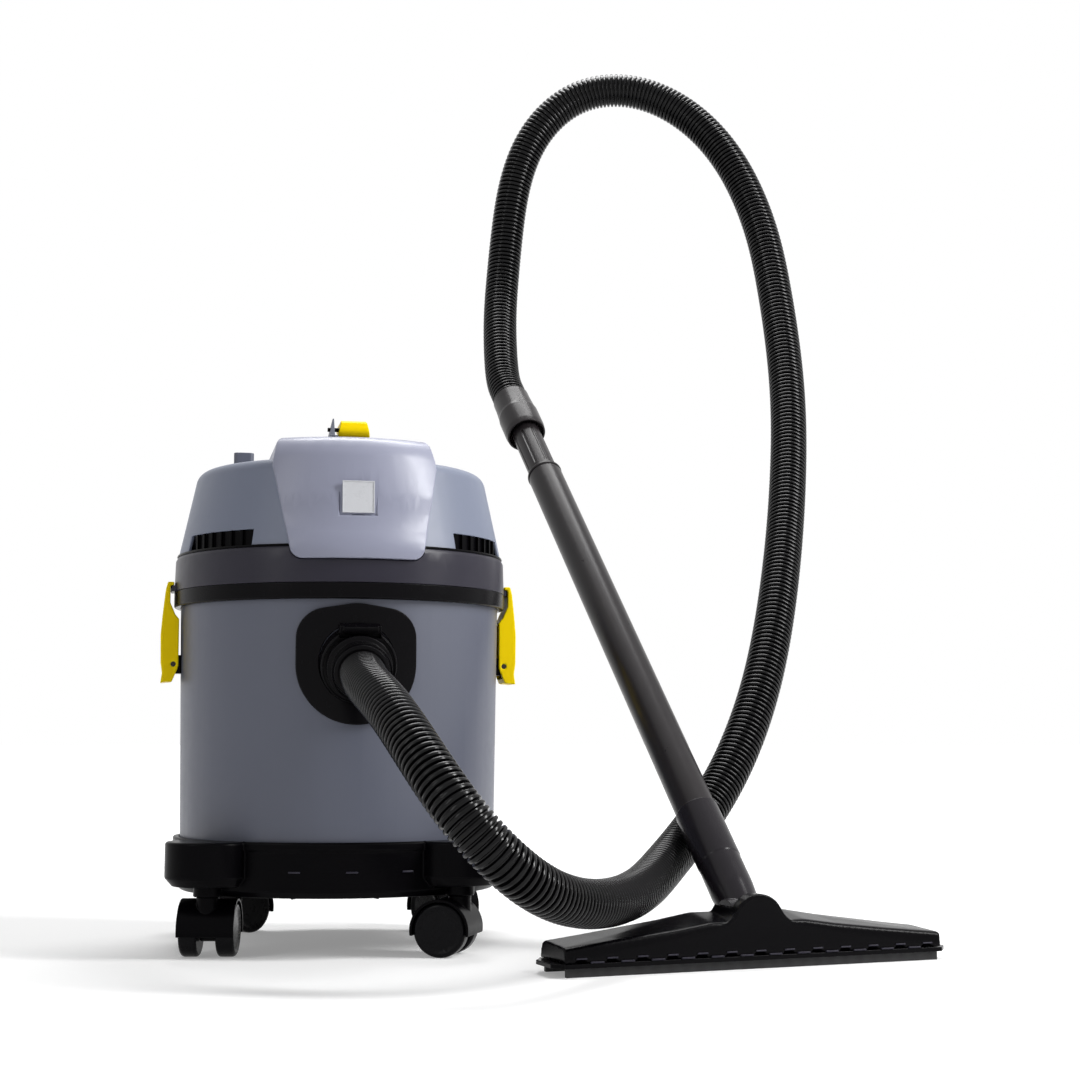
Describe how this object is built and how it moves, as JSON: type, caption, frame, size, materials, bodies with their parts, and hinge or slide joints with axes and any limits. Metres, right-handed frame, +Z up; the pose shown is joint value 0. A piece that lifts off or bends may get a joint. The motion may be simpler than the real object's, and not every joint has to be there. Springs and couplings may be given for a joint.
{
  "type": "wet and dry canister vacuum cleaner",
  "caption": "Drum vacuum with a latched motor head, a dolly on swivel casters, a ribbed hose rising in an arch to a leaning wand, and a wide hinged floor tool.",
  "frame": {"origin": "on the drum's axis at floor level, with the caster wheels and the floor tool standing on z = 0", "axes": "+Z up along the drum's axis, -Y to the drum's front with its inlet, badge and lever, +X to the drum's own left, the side on which the wand stands"},
  "size_m": [0.7611, 0.9104, 1.0664],
  "materials": {
    "grey_plastic": "moulded satin, cool grey",
    "light_grey_plastic": "moulded satin, lighter cool grey",
    "badge_plate": "plain pale plate with nothing printed on it",
    "black_plastic": "moulded satin black",
    "wand_black": "smooth half-gloss black",
    "yellow_plastic": "half-gloss yellow",
    "screw_steel": "plated steel",
    "motor_metal": "pressed sheet",
    "motor_core": "laminated core, dark",
    "winding_copper": "enamelled copper windings on a core",
    "seal_rubber": "matt black rubber",
    "float_plastic": "off-white moulded plastic",
    "filter_paper": "pleated filter paper",
    "wheel_plastic": "hard black wheel",
    "hose_plastic": "ribbed black hose"
  },
  "bodies": {
    "drum": {"tank": "grey_plastic", "tank_band": "black_plastic", "dolly": "black_plastic", "dolly_screws": "screw_steel", "inlet_plate": "black_plastic", "inlet_port": "black_plastic", "inlet_screws": "screw_steel", "inlet_deflector": "black_plastic", "hose_connector": "black_plastic", "latch_brackets": "black_plastic", "latch_pins": "screw_steel", "hose": "hose_plastic", "grip_tube": "black_plastic", "wand_tube": "wand_black", "tool_neck": "black_plastic", "tool_pin": "screw_steel"},
    "head": {"head_ring": "black_plastic", "head_cover": "grey_plastic", "front_cowl": "light_grey_plastic", "badge_plate": "badge_plate", "vent_grilles": "black_plastic", "cable_hooks": "grey_plastic", "cable_gland": "black_plastic", "head_screws": "screw_steel", "tank_seal": "seal_rubber", "lever_bracket": "grey_plastic", "lever_pin": "black_plastic", "switch_body": "black_plastic", "motor_deck": "black_plastic", "deck_screws": "screw_steel", "fan_housing": "motor_metal", "motor_bracket": "motor_metal", "stator": "motor_core", "bearings": "screw_steel", "float_cage": "black_plastic", "filter_cartridge": "filter_paper"},
    "rotor": {"motor_shaft": "screw_steel", "armature": "winding_copper", "impeller": "motor_metal"},
    "float": {"float_ball": "float_plastic"},
    "lever": {"power_lever": "yellow_plastic"},
    "left_latch": {"latch_left": "yellow_plastic"},
    "right_latch": {"latch_right": "yellow_plastic"},
    "key": {"release_key": "black_plastic"},
    "cuff": {"hose_cuff": "black_plastic"},
    "floor_tool": {"tool_shell": "black_plastic", "tool_sole": "black_plastic", "tool_strips": "seal_rubber"},
    "swivel_fl": {"caster_hood_fl": "black_plastic", "caster_pins_fl": "screw_steel"},
    "wheels_fl": {"caster_wheels_fl": "wheel_plastic"},
    "swivel_fr": {"caster_hood_fr": "black_plastic", "caster_pins_fr": "screw_steel"},
    "wheels_fr": {"caster_wheels_fr": "wheel_plastic"},
    "swivel_br": {"caster_hood_br": "black_plastic", "caster_pins_br": "screw_steel"},
    "wheels_br": {"caster_wheels_br": "wheel_plastic"},
    "swivel_bl": {"caster_hood_bl": "black_plastic", "caster_pins_bl": "screw_steel"},
    "wheels_bl": {"caster_wheels_bl": "wheel_plastic"}
  },
  "joints": [
    {"name": "head_lift", "type": "slide", "parent": "drum", "child": "head", "axis": [0, 0, 1], "range_m": [0, 0.3]},
    {"name": "rotor_spin", "type": "hinge", "parent": "head", "child": "rotor", "pos_m": [0, 0, 0.4], "axis": [0, 0, 1], "continuous": true},
    {"name": "float_rise", "type": "slide", "parent": "head", "child": "float", "axis": [0, 0, 1], "range_m": [0, 0.018]},
    {"name": "lever_rock", "type": "hinge", "parent": "head", "child": "lever", "pos_m": [0, -0.108, 0.4956], "axis": [1, 0, 0], "range_deg": [-16, 0]},
    {"name": "left_latch_swing", "type": "hinge", "parent": "drum", "child": "left_latch", "pos_m": [-0.1645, 0, 0.274], "axis": [0, -1, 0], "range_deg": [0, 25]},
    {"name": "right_latch_swing", "type": "hinge", "parent": "drum", "child": "right_latch", "pos_m": [0.1645, 0, 0.274], "axis": [0, 1, 0], "range_deg": [0, 25]},
    {"name": "key_press", "type": "slide", "parent": "drum", "child": "key", "axis": [0, 0.2588, -0.9659], "range_m": [0, 0.0025], "stiffness_N_per_m": 500},
    {"name": "cuff_turn", "type": "hinge", "parent": "drum", "child": "cuff", "pos_m": [0.23757, 0.3259, 0.60962], "axis": [-0.1249, 0.7084, 0.6947], "continuous": true},
    {"name": "tool_tilt", "type": "hinge", "parent": "drum", "child": "floor_tool", "pos_m": [0.34, -0.255, 0.04], "axis": [0.9848, 0.1736, 0], "range_deg": [-12, 15]},
    {"name": "caster_swivel_fl", "type": "hinge", "parent": "drum", "child": "swivel_fl", "pos_m": [-0.13002, -0.10158, 0.06], "axis": [0, 0, 1], "continuous": true},
    {"name": "caster_roll_fl", "type": "hinge", "parent": "swivel_fl", "child": "wheels_fl", "pos_m": [-0.12732, -0.08887, 0.025], "axis": [-0.9781, 0.2079, 0], "continuous": true},
    {"name": "caster_swivel_fr", "type": "hinge", "parent": "drum", "child": "swivel_fr", "pos_m": [0.10158, -0.13002, 0.06], "axis": [0, 0, 1], "continuous": true},
    {"name": "caster_roll_fr", "type": "hinge", "parent": "swivel_fr", "child": "wheels_fr", "pos_m": [0.0898, -0.12453, 0.025], "axis": [-0.4226, -0.9063, 0], "continuous": true},
    {"name": "caster_swivel_br", "type": "hinge", "parent": "drum", "child": "swivel_br", "pos_m": [0.13002, 0.10158, 0.06], "axis": [0, 0, 1], "continuous": true},
    {"name": "caster_roll_br", "type": "hinge", "parent": "swivel_br", "child": "wheels_br", "pos_m": [0.12352, 0.11284, 0.025], "axis": [-0.866, -0.5, 0], "continuous": true},
    {"name": "caster_swivel_bl", "type": "hinge", "parent": "drum", "child": "swivel_bl", "pos_m": [-0.10158, 0.13002, 0.06], "axis": [0, 0, 1], "continuous": true},
    {"name": "caster_roll_bl", "type": "hinge", "parent": "swivel_bl", "child": "wheels_bl", "pos_m": [-0.09163, 0.13838, 0.025], "axis": [-0.6428, 0.766, 0], "continuous": true}
  ]
}
